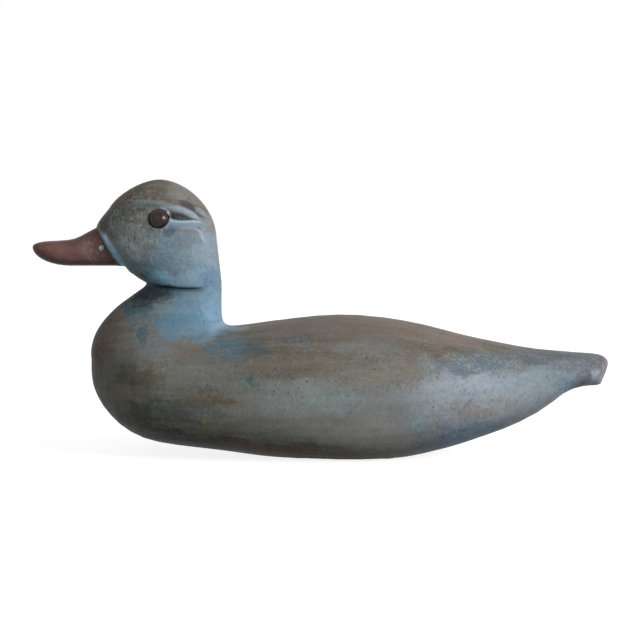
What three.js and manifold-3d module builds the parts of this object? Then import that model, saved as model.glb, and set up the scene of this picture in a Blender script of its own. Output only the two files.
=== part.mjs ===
// A ceramic duck decoy: a hollow slip-cast body on a flat foot, a hollow head luted on at the neck,
// a separate bill, bead eyes and nostril studs, a cork in the pour hole and felt discs under the foot.
// Millimetres, +Z up, bill towards -X, the duck's left side towards -Y, origin on the table under
// the middle of the length.
import * as THREE from "three";
import { mergeVertices } from "three/addons/utils/BufferGeometryUtils.js";
import Module from "manifold-3d";

const wasm = await Module();
wasm.setup();

// Clay and seats
const WALL = 5.5; // cast wall of the body and the head
const FLOOR = 7; // clay left under the body's hollow
const SEAT_GAP = 0.3; // slip or glue between two seated pieces
const OUTER_SIDES = 44; // corners round a body, neck or head section
const INNER_SIDES = 28; // and round the hollow inside

// Body, in its own frame: x runs from the breast to the tail. Its lines are given by stations:
// place along the length, back height, keel height, share of the half beam
const BODY_LENGTH = 346.6;
const BODY_BEAM = 140;
const BODY_STATIONS = [
  [0, 88, 20, 0.657],
  [0.127, 87, 9, 0.829],
  [0.272, 86, 3, 0.943],
  [0.359, 89.7, -0.9, 0.986],
  [0.446, 93, -3.4, 1],
  [0.532, 93.4, -4.4, 0.986],
  [0.634, 88.1, 1.2, 0.929],
  [0.735, 79.4, 10.6, 0.779],
  [0.851, 71.6, 26.6, 0.55],
  [0.923, 69.3, 43, 0.429],
  [1, 67.6, 48.4, 0.343],
];
const BODY_SLICES = 36;
const HOLLOW_SLICES = 20;
const BREAST_HEIGHT = 58.5; // the breast's foremost line starts here above the table
const BREAST_UPRIGHT = 6; // and runs straight up for this much
const BREAST_BACK_RUN = 26; // length over which the breast rounds up to the back line
const BREAST_KEEL_RUN = 49; // and down to the keel
const BREAST_BEAM_RUN = 55; // and out to the full beam
const BREAST_FULLNESS = 2.3; // exponent of those roundings, 2 is an ellipse
const TAIL_ROUNDING = 9; // the blunt tail's upper edge rounds off over this length
const TAIL_END_SHARE = 0.5; // of the section's rise is left at the end
const TAIL_BOW = 46; // radius of the tail's end face, which is bowed from side to side
const TAIL_SLANT = 19; // degrees that the end face leans in towards its lower edge
const TAIL_SLANT_HEIGHT = 59; // height of the end face's rearmost point
const TAIL_SHAPING = 40; // the sections turn from upright to the end face's form over this length
const BEAM_LEVEL = 0.46; // the widest line, as a share of the section's height
const UPPER_FULLNESS = 2.2; // section exponents above and below the widest line
const LOWER_FULLNESS = 2.5;
const HOLLOW_TAIL_SOLID = 45; // the tail is cast solid for this length

// Foot, pour hole and felt discs
const FELT_THICKNESS = 1.5;
const FELT_RADIUS = 7;
const FELT_SPACING_X = 56;
const FELT_SPACING_Y = 40;
const FOOT_X = 170; // from the breast to the middle of the foot
const POUR_HOLE_RADIUS = 13;
const CORK_TAPER = 1; // the cork is this much slimmer at its inner end
const CORK_LENGTH = 16;

// Neck stub, which rises from the body to the joint under the cheeks
const NECK_X = 62.6; // from the breast to the middle of the neck
const NECK_LENGTH = 51; // fore and aft at the joint
const JOINT_HEIGHT = 113; // the joint between neck and head above the table
const NAPE_FILLET = 4; // where the back of the neck meets the back
const NECK_FULLNESS = 2.2;
const NECK_SLICES = 16;
// The stub flares into the chest and the shoulders: drop below the joint, reach ahead of the throat,
// half width
const NECK_STATIONS = [
  [0, 0, 23],
  [6, 10, 23],
  [14, 20.8, 23.9],
  [22, 28.6, 26.6],
  [31, 34.4, 34],
  [40, 36.9, 44.5],
  [46, 37.3, 46.5],
  [52, 36.3, 46],
];

// Spigot under the head, a tube that seats in the neck's bore and vents the head into the body
const BORE_RADIUS = 14;
const SPIGOT_WALL = 4.5;
const SPIGOT_LENGTH = 13;

// Head, in its own frame: origin in the middle of the joint, bill towards -X
const HEAD_CENTRE_X = -16.2; // under the crown
const HEAD_FRONT = 43.3; // from there to the forehead's foremost point
const HEAD_BACK = 38.1; // and to the nape
const HEAD_HEIGHT = 71.4; // joint to crown
const HEAD_MID_HEIGHT = 32.8; // joint to the level of the longest outline
const CHIN_DEPTH = 35; // from that level down to where the chin line would end
const HEAD_WIDTH = 58; // across the cheeks
const CHEEK_HEIGHT = 20.5; // joint to the widest level
const CHEEK_DEPTH = 40; // the cheek's curve would close this far under its widest level
const CROWN_FULLNESS = 1.8; // exponents of the outlines seen from the side
const FOREHEAD_FULLNESS = 1.69;
const CHIN_FULLNESS = 1.24;
const TEMPLE_FULLNESS = 2.05; // seen from the front
const HEAD_FULLNESS = 2.2;
const HEAD_SLICES = 24;
const HEAD_HOLLOW_SLICES = 14;

// Bill, in the head's frame, by stations back from the tip: run, top, bottom, half width
const BILL_STATIONS = [
  [0, 29.8, 13.3, 12.6],
  [21, 30.6, 13.3, 13],
  [29, 31.8, 13.3, 12.7],
  [38.4, 36.4, 13.3, 12.5],
  [44, 39.4, 13.3, 12.6],
  [63, 49, 13.3, 13.5],
];
const BILL_TIP_X = -102.6;
const BILL_TIP_HEIGHT = 26.4;
const BILL_TOP_RUN = 12; // the tip rounds off over these lengths
const BILL_BOTTOM_RUN = 26;
const BILL_SIDE_RUN = 18;
const BILL_FULLNESS = 2.2;
const BILL_SLICES = 22;
const BILL_SIDES = 28;
const BILL_ROOT_X = -57.4; // the slanted root face starts here on top
const BILL_ROOT_HEIGHT = 39.2;
const BILL_ROOT_SLANT = 28; // degrees that the root face leans back towards the chin
const COLLAR_STEP = 1.3; // the head stands this much proud of the bill round its root
const COLLAR_DEPTH = 6; // and the collar runs back into the face this far
const TENON_RADIUS = 5;
const TENON_LENGTH = 13;
const TENON_HEIGHT = 25.5;

// Eyes, in the head's frame
const EYE_X = -13.6;
const EYE_HEIGHT = 44.8;
const EYE_RADIUS = 6.3;
const EYE_DOME = 4; // rise of the bead's dome
const EYE_SET = 2.6; // the bead's rim is let into the head this deep
const EYE_STEM_RADIUS = 2;
const EYE_STEM_LENGTH = 6;
const EYE_UP = 14; // degrees that the eyes look up
const EYE_FORWARD = 5;

// Nostril studs, in the head's frame
const NOSTRIL_RADIUS = 2;
const NOSTRIL_DOME = 0.9;
const NOSTRIL_STEM = 3.5;
const NOSTRIL_AHEAD = 3.6; // ahead of the root face
const NOSTRIL_HEIGHT = 25.4;

const LATHE_SIDES = 28;

const FOOT_HEIGHT = FELT_THICKNESS;
const NAPE_LEAN = NECK_LENGTH / 2 - HEAD_CENTRE_X - HEAD_BACK; // the nape runs back to meet the neck
const UP = new THREE.Vector3(0, 1, 0); // the axis that lathes and cylinders are made on

const glaze = new THREE.MeshStandardMaterial({ color: 0x69767a, roughness: 0.55, metalness: 0 });
const billGlaze = new THREE.MeshStandardMaterial({ color: 0x5c4641, roughness: 0.5, metalness: 0 });
const eyeGlass = new THREE.MeshStandardMaterial({ color: 0x2c2220, roughness: 0.15, metalness: 0 });
const paleClay = new THREE.MeshStandardMaterial({ color: 0xa49d97, roughness: 0.6, metalness: 0 });
const cork = new THREE.MeshStandardMaterial({ color: 0xa98a63, roughness: 0.9, metalness: 0 });
const felt = new THREE.MeshStandardMaterial({ color: 0x3f4a44, roughness: 1, metalness: 0 });

// Turns a closed geometry into a solid that can be joined and cut.
function solid(geometry) {
  const bare = geometry.clone();
  bare.deleteAttribute("normal");
  bare.deleteAttribute("uv");
  const merged = mergeVertices(bare, 1e-4);
  return new wasm.Manifold(
    new wasm.Mesh({
      numProp: 3,
      vertProperties: new Float32Array(merged.attributes.position.array),
      triVerts: new Uint32Array(merged.index.array),
    }),
  );
}

function geometryOf(made) {
  const { vertProperties, triVerts } = made.getMesh();
  const geometry = new THREE.BufferGeometry();
  geometry.setAttribute("position", new THREE.BufferAttribute(vertProperties, 3));
  geometry.setIndex(new THREE.BufferAttribute(triVerts, 1));
  geometry.computeVertexNormals();
  return geometry;
}

function piece(name, shape, material) {
  const geometry = shape.isBufferGeometry ? shape : geometryOf(shape);
  const mesh = new THREE.Mesh(geometry, material);
  mesh.name = name;
  return mesh;
}

// A smooth line through rows of [place, value, value, ...].
function lineThrough(rows) {
  const places = rows.map((row) => row[0]);
  const values = rows.flatMap((row) => row.slice(1));
  const line = new THREE.CubicInterpolant(places, values, rows[0].length - 1);
  return (place) => line.evaluate(THREE.MathUtils.clamp(place, places[0], places.at(-1)));
}

// Height of a quarter superellipse over a run of 1, from 0 at its tip to 1 where it is level.
function rounding(share, fullness) {
  const left = 1 - THREE.MathUtils.clamp(share, 0, 1);
  return (1 - left ** fullness) ** (1 / fullness);
}

function bulge(value, fullness) {
  return Math.sign(value) * Math.abs(value) ** (2 / fullness);
}

// A closed skin over rings of equal corner counts, with a tip or a flat cap at each end.
function skin(rings, firstTip, lastTip) {
  const sides = rings[0].length;
  const points = rings.flat();
  const middle = (ring) =>
    ring.reduce((sum, p) => sum.add(p), new THREE.Vector3()).divideScalar(ring.length);
  points.push(firstTip ?? middle(rings[0]), lastTip ?? middle(rings.at(-1)));
  const [first, last] = [points.length - 2, points.length - 1];
  const corners = [];
  rings.slice(1).forEach((_, r) => {
    for (let i = 0; i < sides; i++) {
      const [a, b] = [r * sides + i, r * sides + ((i + 1) % sides)];
      corners.push(a, b, b + sides, a, b + sides, a + sides);
    }
  });
  const lastRing = (rings.length - 1) * sides;
  for (let i = 0; i < sides; i++) {
    const next = (i + 1) % sides;
    corners.push(first, next, i, last, lastRing + i, lastRing + next);
  }
  return new THREE.BufferGeometry().setFromPoints(points).setIndex(corners);
}

// Places along a length, closer together at both ends.
function spread(count) {
  return Array.from({ length: count }, (_, i) => (1 - Math.cos((Math.PI * (i + 1)) / (count + 1))) / 2);
}

const stationLine = lineThrough(BODY_STATIONS);

// Back height, keel height and half beam of the body at x.
function bodyLine(x) {
  const [back, keel, beamShare] = stationLine(x / BODY_LENGTH);
  return [back, keel, (beamShare * BODY_BEAM) / 2];
}

// Back, keel, half beam and widest level of the body at x, offset outwards by grow.
function bodySection(x, grow) {
  const [back, keel, beam] = bodyLine(x);
  const run = x + grow;
  const tail = rounding((BODY_LENGTH + grow - x) / TAIL_ROUNDING, 2);
  const taper = TAIL_END_SHARE + (1 - TAIL_END_SHARE) * tail;
  const upright = BREAST_HEIGHT + BREAST_UPRIGHT;
  const top = upright + (back + grow - upright) * rounding(run / BREAST_BACK_RUN, BREAST_FULLNESS);
  const low = BREAST_HEIGHT + (keel - grow - BREAST_HEIGHT) * rounding(run / BREAST_KEEL_RUN, BREAST_FULLNESS);
  const half = (beam + grow) * rounding(run / BREAST_BEAM_RUN, 2);
  const level = low + (top - low) * BEAM_LEVEL;
  return { half, level, rise: (top - level) * taper, drop: level - low };
}

// How far a point of a section lies ahead of the section's rearmost point, close to the tail's end.
function tailInset(x, y, z) {
  const share = THREE.MathUtils.smoothstep(x, BODY_LENGTH - TAIL_SHAPING, BODY_LENGTH);
  const bow = TAIL_BOW - Math.sqrt(Math.max(0, TAIL_BOW ** 2 - y ** 2));
  const lean = Math.max(0, TAIL_SLANT_HEIGHT - z) * Math.tan(THREE.MathUtils.degToRad(TAIL_SLANT));
  return share * (bow + lean);
}

function bodyForm(grow, tailX, slices, sides) {
  const noseX = -grow;
  const rings = [...spread(slices), 1].map((share) => {
    const x = noseX + (tailX - noseX) * share;
    const { half, level, rise, drop } = bodySection(x, grow);
    return Array.from({ length: sides }, (_, i) => {
      const angle = (2 * Math.PI * i) / sides;
      const [across, up] = [Math.cos(angle), Math.sin(angle)];
      const fullness = up > 0 ? UPPER_FULLNESS : LOWER_FULLNESS;
      const y = half * bulge(across, fullness);
      const z = level + (up > 0 ? rise : drop) * bulge(up, fullness);
      return new THREE.Vector3(x - tailInset(x, y, z), y, z);
    });
  });
  const nose = new THREE.Vector3(noseX, 0, BREAST_HEIGHT + BREAST_UPRIGHT / 2);
  return skin(rings, nose, new THREE.Vector3(tailX, 0, TAIL_SLANT_HEIGHT));
}

// A level ring: front and back reach from the middle, and half width.
function levelRing(middleX, front, back, half, height, fullness, sides) {
  return Array.from({ length: sides }, (_, i) => {
    const angle = (2 * Math.PI * i) / sides;
    const [along, across] = [Math.cos(angle), Math.sin(angle)];
    return new THREE.Vector3(
      middleX + (along > 0 ? back : front) * bulge(along, fullness),
      half * bulge(across, fullness),
      height,
    );
  });
}

const neckLine = lineThrough(NECK_STATIONS);
const NECK_ROOT_DEPTH = NECK_STATIONS.at(-1)[0];

// How far a fillet of that radius stands out at a height above the surface that it runs into.
function fillet(height, radius) {
  const above = THREE.MathUtils.clamp(height, 0, radius);
  return radius - Math.sqrt(radius ** 2 - (radius - above) ** 2);
}

// The neck stub's form, which flares into the chest, the shoulders and the back.
function neckForm(grow, topHeight, sides) {
  const [back] = bodyLine(NECK_X + NECK_LENGTH / 2);
  const bottom = JOINT_HEIGHT - NECK_ROOT_DEPTH;
  const rings = Array.from({ length: NECK_SLICES }, (_, i) => {
    const height = bottom + ((topHeight - bottom) * i) / (NECK_SLICES - 1);
    const [reach, half] = neckLine(JOINT_HEIGHT - height);
    return levelRing(
      NECK_X,
      NECK_LENGTH / 2 + reach + grow,
      NECK_LENGTH / 2 + fillet(height - back, NAPE_FILLET) + grow,
      half + grow,
      height,
      NECK_FULLNESS,
      sides,
    );
  });
  return skin(rings);
}

// Middle, reaches from it and half width of the head at a height above the joint, offset outwards by
// grow. Down from the level of its longest outline the middle moves back to the neck's.
function headSection(height, grow) {
  const above = (height - HEAD_MID_HEIGHT) / (HEAD_HEIGHT + grow - HEAD_MID_HEIGHT);
  const below = (HEAD_MID_HEIGHT - height) / (CHIN_DEPTH + grow);
  const aboveCheek = (height - CHEEK_HEIGHT) / (HEAD_HEIGHT + grow - CHEEK_HEIGHT);
  const belowCheek = (CHEEK_HEIGHT - height) / (CHEEK_DEPTH + grow);
  const crown = (fullness) => rounding(1 - above, fullness);
  const lean = NAPE_LEAN * Math.max(0, 1 - height / HEAD_MID_HEIGHT);
  const front = (HEAD_FRONT + grow) * (above > 0 ? crown(FOREHEAD_FULLNESS) : rounding(1 - below, CHIN_FULLNESS));
  const back = above > 0 ? (HEAD_BACK + grow) * crown(CROWN_FULLNESS) : HEAD_BACK + grow + lean;
  const middle = HEAD_CENTRE_X * THREE.MathUtils.clamp(height / HEAD_MID_HEIGHT, 0, 1);
  return {
    middle,
    front: front + middle - HEAD_CENTRE_X,
    back: back - middle + HEAD_CENTRE_X,
    half:
      (HEAD_WIDTH / 2 + grow) *
      (aboveCheek > 0 ? rounding(1 - aboveCheek, TEMPLE_FULLNESS) : rounding(1 - belowCheek, 2)),
  };
}

function headForm(grow, bottom, slices, sides) {
  const top = HEAD_HEIGHT + grow;
  const heights = Array.from({ length: slices }, (_, i) =>
    bottom + (top - bottom) * Math.sin((Math.PI / 2) * (i / slices)),
  );
  const rings = heights.map((height) => {
    const { middle, front, back, half } = headSection(height, grow);
    return levelRing(middle, front, back, half, height, HEAD_FULLNESS, sides);
  });
  return skin(rings, undefined, new THREE.Vector3(HEAD_CENTRE_X, 0, top));
}

// Half width of the head's skin at a place in its own frame.
function headHalfAt(x, height) {
  const { middle, front, back, half } = headSection(height, 0);
  const share = Math.min(1, Math.abs(x - middle) / (x > middle ? back : front));
  return half * (1 - share ** HEAD_FULLNESS) ** (1 / HEAD_FULLNESS);
}

const billLine = lineThrough(BILL_STATIONS);

function billSection(run) {
  const [top, bottom, half] = billLine(run);
  const high = BILL_TIP_HEIGHT + (top - BILL_TIP_HEIGHT) * rounding(run / BILL_TOP_RUN, 2);
  const low = BILL_TIP_HEIGHT + (bottom - BILL_TIP_HEIGHT) * rounding(run / BILL_BOTTOM_RUN, 2);
  const level = (high + low) / 2;
  return { level, rise: high - level, half: half * rounding(run / BILL_SIDE_RUN, 2) };
}

// The bill's form, which runs on back into the head. With grow it is wider and deeper by that much.
function billForm(grow) {
  const length = BILL_STATIONS.at(-1)[0];
  const rings = [...spread(BILL_SLICES), 1].map((share) => {
    const { level, rise, half } = billSection(length * share);
    return Array.from({ length: BILL_SIDES }, (_, i) => {
      const angle = (2 * Math.PI * i) / BILL_SIDES;
      return new THREE.Vector3(
        BILL_TIP_X + length * share,
        (half + grow) * bulge(Math.cos(angle), BILL_FULLNESS),
        level - grow / 2 + (rise + grow / 2) * bulge(Math.sin(angle), BILL_FULLNESS),
      );
    });
  });
  return skin(rings, new THREE.Vector3(BILL_TIP_X, 0, BILL_TIP_HEIGHT));
}

// x of the slanted root face at a height in the head's frame.
function rootFaceX(height) {
  return BILL_ROOT_X + (BILL_ROOT_HEIGHT - height) * Math.tan(THREE.MathUtils.degToRad(BILL_ROOT_SLANT));
}

// A block whose back face is the bill's root face, moved forward by gap.
function aheadOfRoot(gap) {
  const side = 4 * HEAD_HEIGHT;
  return new THREE.BoxGeometry(side, side, side)
    .translate(-side / 2 - gap, 0, 0)
    .rotateY(-THREE.MathUtils.degToRad(BILL_ROOT_SLANT))
    .translate(BILL_ROOT_X, 0, BILL_ROOT_HEIGHT);
}

function cylinder(radius, length) {
  return new THREE.CylinderGeometry(radius, radius, length, LATHE_SIDES);
}

function lathe(profile) {
  return new THREE.LatheGeometry(
    profile.map(([r, h]) => new THREE.Vector2(r, h)),
    LATHE_SIDES,
  );
}

// A domed bead on a stem, along +Y with its rim at 0. The socket is the same form, grown by gap.
function bead(radius, dome, set, stemRadius, stemLength, gap) {
  const ball = (radius ** 2 + dome ** 2) / (2 * dome); // radius of the sphere that the dome is cut from
  const steps = 6;
  const cap = Array.from({ length: steps }, (_, i) => {
    const r = radius * (1 - i / steps);
    return [r, Math.sqrt(ball ** 2 - r ** 2) - ball + dome];
  });
  const inner = stemRadius + gap;
  const outer = radius + gap;
  return lathe([
    [0, -set - stemLength - gap],
    [inner, -set - stemLength - gap],
    [inner, -set - gap],
    [outer, -set - gap],
    ...(gap > 0 ? [[outer, dome]] : cap),
    [0, dome],
  ]);
}

// A frame on the head's or the bill's skin, whose +Y points outwards.
function skinFrame(x, y, height, up, forward, side) {
  const outwards = new THREE.Vector3(
    -Math.sin(THREE.MathUtils.degToRad(forward)),
    side * Math.cos(THREE.MathUtils.degToRad(up)),
    Math.sin(THREE.MathUtils.degToRad(up)),
  ).normalize();
  const frame = new THREE.Group();
  frame.position.set(x, side * y, height);
  frame.quaternion.setFromUnitVectors(UP, outwards);
  frame.updateMatrix();
  return frame;
}

const SIDES = [
  ["left", -1],
  ["right", 1],
];
const eyeFrames = SIDES.map(([name, side]) => ({
  name,
  frame: skinFrame(EYE_X, headHalfAt(EYE_X, EYE_HEIGHT), EYE_HEIGHT, EYE_UP, EYE_FORWARD, side),
}));

const nostrilX = rootFaceX(NOSTRIL_HEIGHT) - NOSTRIL_AHEAD;
const billAtNostril = billSection(nostrilX - BILL_TIP_X);
const nostrilShare = Math.abs(NOSTRIL_HEIGHT - billAtNostril.level) / billAtNostril.rise;
const nostrilY = billAtNostril.half * (1 - nostrilShare ** BILL_FULLNESS) ** (1 / BILL_FULLNESS);
const nostrilFrames = SIDES.map(([name, side]) => ({
  name,
  frame: skinFrame(nostrilX, nostrilY, NOSTRIL_HEIGHT, 0, 0, side),
}));

const eye = (gap) => bead(EYE_RADIUS, EYE_DOME, EYE_SET, EYE_STEM_RADIUS, EYE_STEM_LENGTH, gap);
const nostril = (gap) =>
  bead(NOSTRIL_RADIUS, NOSTRIL_DOME, 0, NOSTRIL_RADIUS - SEAT_GAP, NOSTRIL_STEM, gap);

// A block over the whole duck from a height upwards.
function above(height) {
  const side = 4 * BODY_LENGTH;
  return solid(new THREE.BoxGeometry(side, side, side).translate(0, 0, height + side / 2));
}

// The cork and, grown by gap, its hole: a plug that tapers inwards, from the foot up.
function corkForm(gap) {
  const outer = POUR_HOLE_RADIUS - SEAT_GAP + gap;
  return lathe([
    [0, -gap],
    [outer, -gap],
    [outer - CORK_TAPER, CORK_LENGTH + gap],
    [0, CORK_LENGTH + gap],
  ])
    .rotateX(Math.PI / 2)
    .translate(FOOT_X, 0, FOOT_HEIGHT);
}

function bodyShell() {
  const boreTop = JOINT_HEIGHT - SPIGOT_LENGTH / 2;
  const outside = solid(bodyForm(0, BODY_LENGTH, BODY_SLICES, OUTER_SIDES)).add(
    solid(neckForm(0, JOINT_HEIGHT, OUTER_SIDES)),
  );
  const hollow = solid(bodyForm(-WALL, BODY_LENGTH - HOLLOW_TAIL_SOLID, HOLLOW_SLICES, INNER_SIDES))
    .add(solid(neckForm(-WALL, boreTop, INNER_SIDES)))
    .intersect(above(FOOT_HEIGHT + FLOOR));
  const bore = cylinder(BORE_RADIUS, NECK_ROOT_DEPTH)
    .rotateX(Math.PI / 2)
    .translate(NECK_X, 0, JOINT_HEIGHT);
  return outside
    .intersect(above(FOOT_HEIGHT))
    .subtract(hollow)
    .subtract(solid(bore))
    .subtract(solid(corkForm(SEAT_GAP)));
}

function headShell() {
  const spigotRadius = BORE_RADIUS - SEAT_GAP;
  const spigotLength = SPIGOT_LENGTH + WALL;
  const spigot = cylinder(spigotRadius, spigotLength)
    .rotateX(Math.PI / 2)
    .translate(0, 0, spigotLength / 2 - SPIGOT_LENGTH);
  const vent = cylinder(spigotRadius - SPIGOT_WALL, 2 * spigotLength)
    .rotateX(Math.PI / 2)
    .translate(0, 0, 0);
  const mortise = cylinder(TENON_RADIUS + SEAT_GAP, 2 * (TENON_LENGTH + SEAT_GAP))
    .rotateZ(Math.PI / 2)
    .translate(rootFaceX(TENON_HEIGHT), 0, TENON_HEIGHT);
  const collar = solid(billForm(COLLAR_STEP)).intersect(solid(aheadOfRoot(-COLLAR_DEPTH)));
  const sockets = eyeFrames.map(({ frame }) => solid(eye(SEAT_GAP).applyMatrix4(frame.matrix)));
  return sockets.reduce(
    (made, socket) => made.subtract(socket),
    solid(headForm(0, SEAT_GAP, HEAD_SLICES, OUTER_SIDES))
      .add(solid(spigot))
      .add(collar)
      .subtract(solid(headForm(-WALL, SEAT_GAP + WALL, HEAD_HOLLOW_SLICES, INNER_SIDES)))
      .subtract(solid(vent))
      .subtract(solid(aheadOfRoot(0)))
      .subtract(solid(mortise)),
  );
}

function bill() {
  const tenonLength = TENON_LENGTH + BILL_SIDE_RUN;
  const tenon = cylinder(TENON_RADIUS, tenonLength)
    .rotateZ(Math.PI / 2)
    .translate(rootFaceX(TENON_HEIGHT) + TENON_LENGTH - tenonLength / 2, 0, TENON_HEIGHT);
  const sockets = nostrilFrames.map(({ frame }) => solid(nostril(SEAT_GAP).applyMatrix4(frame.matrix)));
  return sockets.reduce(
    (made, socket) => made.subtract(socket),
    solid(billForm(0)).intersect(solid(aheadOfRoot(SEAT_GAP))).add(solid(tenon)),
  );
}

const head = new THREE.Group();
head.position.set(NECK_X, 0, JOINT_HEIGHT);
head.add(piece("head_shell", headShell(), glaze), piece("bill", bill(), billGlaze));
eyeFrames.forEach(({ name, frame }) => {
  frame.add(piece(`${name}_eye`, eye(0), eyeGlass));
  head.add(frame);
});
nostrilFrames.forEach(({ name, frame }) => {
  frame.add(piece(`${name}_nostril`, nostril(0), paleClay));
  head.add(frame);
});

// The whole bird, moved along so that the middle of its length stands over the origin.
const duck = new THREE.Group();
duck.position.x = -(BODY_LENGTH + NECK_X + BILL_TIP_X) / 2;
duck.add(piece("body_shell", bodyShell(), glaze), piece("pour_hole_cork", corkForm(0), cork), head);
for (const [end, along] of [
  ["front", -1],
  ["rear", 1],
]) {
  for (const [name, side] of SIDES) {
    const disc = piece(`felt_${end}_${name}`, cylinder(FELT_RADIUS, FELT_THICKNESS), felt);
    disc.rotation.x = Math.PI / 2;
    disc.position.set(
      FOOT_X + (along * FELT_SPACING_X) / 2,
      (side * FELT_SPACING_Y) / 2,
      FELT_THICKNESS / 2,
    );
    duck.add(disc);
  }
}

const decoy = new THREE.Group();
decoy.add(duck);

export default decoy;
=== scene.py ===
"""Looks of the ceramic duck decoy: carved skins for the body and the head, bill, bead eyes, nostril studs,
cork and felt discs, each with its own finish, in a plain studio.

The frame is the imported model's, in metres: bill towards -X, the duck's left side towards -Y, +Z up. Named
places and sizes are in millimetres of that frame unless a comment says otherwise. A ramp is a pair: the
value where it is 0 and the value where it is 1."""
import math

import bmesh
import bpy
import numpy as np
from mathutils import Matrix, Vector, noise


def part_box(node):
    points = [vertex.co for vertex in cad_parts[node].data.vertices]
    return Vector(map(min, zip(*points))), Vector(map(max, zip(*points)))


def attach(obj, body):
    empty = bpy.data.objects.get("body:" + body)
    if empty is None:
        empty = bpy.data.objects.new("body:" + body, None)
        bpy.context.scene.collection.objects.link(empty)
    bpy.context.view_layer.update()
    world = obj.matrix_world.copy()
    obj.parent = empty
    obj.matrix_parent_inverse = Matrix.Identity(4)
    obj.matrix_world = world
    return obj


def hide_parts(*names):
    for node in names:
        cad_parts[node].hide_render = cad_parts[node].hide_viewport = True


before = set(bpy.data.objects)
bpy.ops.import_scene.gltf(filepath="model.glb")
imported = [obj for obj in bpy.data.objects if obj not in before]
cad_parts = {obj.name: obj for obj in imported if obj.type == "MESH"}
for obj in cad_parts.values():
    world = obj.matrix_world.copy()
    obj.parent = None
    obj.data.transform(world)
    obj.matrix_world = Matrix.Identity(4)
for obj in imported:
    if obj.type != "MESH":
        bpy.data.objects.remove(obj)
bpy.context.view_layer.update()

MM = 0.001
UP = Vector((0, 0, 1))
TAILWARD = Vector((1, 0, 0))

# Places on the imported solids, in metres
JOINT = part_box("body_shell")[1].z  # height of the joint between neck and head
NECK_X = -0.0907
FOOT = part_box("pour_hole_cork")[0].z
HOLE_X = sum(corner.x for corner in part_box("pour_hole_cork")) / 2

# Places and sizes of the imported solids
JOINT_PLACE = np.array((NECK_X, 0, JOINT)) / MM
BILL_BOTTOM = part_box("bill")[0].z / MM
ROOT_PLACE = np.array((-148.1, 152.2))  # x and z of the bill root's upper end
ROOT_SLANT = math.radians(28)  # the root leans back towards the chin
EYE_PLACE = np.array((-103.9, 157.4))  # x and z
EYE_UP = math.radians(14)
EYE_FORWARD = math.radians(5)
EYE_RADIUS = 6.3
EYE_DOME = 4.0
EYE_SET = 2.6  # the bead's rim is let into the head this deep
NOSTRIL_DOME = 0.9

# Mesh sizes
BODY_VOXEL = 1.5
HEAD_VOXEL = 0.7
BILL_VOXEL = 0.6
SAME_POINT = 0.001


def paint(red, green, blue):
    """A colour written as it looks on a screen, 0 to 255, as the shader's linear colour."""
    shares = (value / 255 for value in (red, green, blue))
    linear = [s / 12.92 if s <= 0.04045 else ((s + 0.055) / 1.055) ** 2.4 for s in shares]
    return (*linear, 1)


def smoothstep(low, high, value):
    """0 at low and 1 at high, smooth between them."""
    share = np.clip((value - low) / (high - low), 0, 1)
    return share * share * (3 - 2 * share)


def window(value, rise, fall):
    """1 where two ramps are both 1, and 0 where either is 0."""
    return smoothstep(*rise, value) * smoothstep(*fall, value)


def bell(distance, width):
    """1 at distance 0, about a third at one width, and 0 far off."""
    return np.exp(-((distance / width) ** 2))


# Meshes


def add_lathe(made, profile, foot, axis, sides=64):
    """Adds the solid that (radius, height) points, in metres, give when turned about an axis at foot."""
    turn = UP.rotation_difference(axis).to_matrix()
    rings = []
    for radius, height in profile:
        count = sides if radius else 1
        angles = [2 * math.pi * i / count for i in range(count)]
        corners = [Vector((radius * math.cos(a), radius * math.sin(a), height)) for a in angles]
        rings.append([made.verts.new(foot + turn @ corner) for corner in corners])
    for low, high in zip(rings, rings[1:]):
        for i in range(sides):
            j = i + 1
            corners = (low[i % len(low)], low[j % len(low)], high[j % len(high)], high[i % len(high)])
            made.faces.new(dict.fromkeys(corners))


def new_piece(name, made, slot, *nodes):
    """An object from a bmesh or a mesh, smooth shaded, that stands for CAD nodes and rides on the body."""
    mesh = made
    if isinstance(made, bmesh.types.BMesh):
        bmesh.ops.recalc_face_normals(made, faces=made.faces)
        mesh = bpy.data.meshes.new(name)
        made.to_mesh(mesh)
        made.free()
    mesh.shade_smooth()
    piece = bpy.data.objects.new(name, mesh)
    bpy.context.scene.collection.objects.link(piece)
    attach(piece, "root")
    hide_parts(*nodes)
    return piece


def cup(radius, bore, start, bore_end, end):
    """Lathe profile of a cup that is open towards the start and shuts off what a bore would open up."""
    corners = [(0, end), (radius, end), (radius, start), (bore, start), (bore, bore_end), (0, bore_end)]
    return [(out * MM, height * MM) for out, height in corners]


def outermost(mesh):
    """Keeps the largest connected shell of a mesh, which is its outside."""
    made = bmesh.new()
    made.from_mesh(mesh)
    left = set(made.verts)
    shells = []
    while left:
        edge = [left.pop()]
        shell = list(edge)
        while edge:
            corner = edge.pop()
            for link in corner.link_edges:
                other = link.other_vert(corner)
                if other in left:
                    left.remove(other)
                    edge.append(other)
                    shell.append(other)
        shells.append(shell)
    shells.sort(key=len)
    inner = [corner for shell in shells[:-1] for corner in shell]
    bmesh.ops.delete(made, geom=inner, context="VERTS")
    made.to_mesh(mesh)
    made.free()


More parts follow.
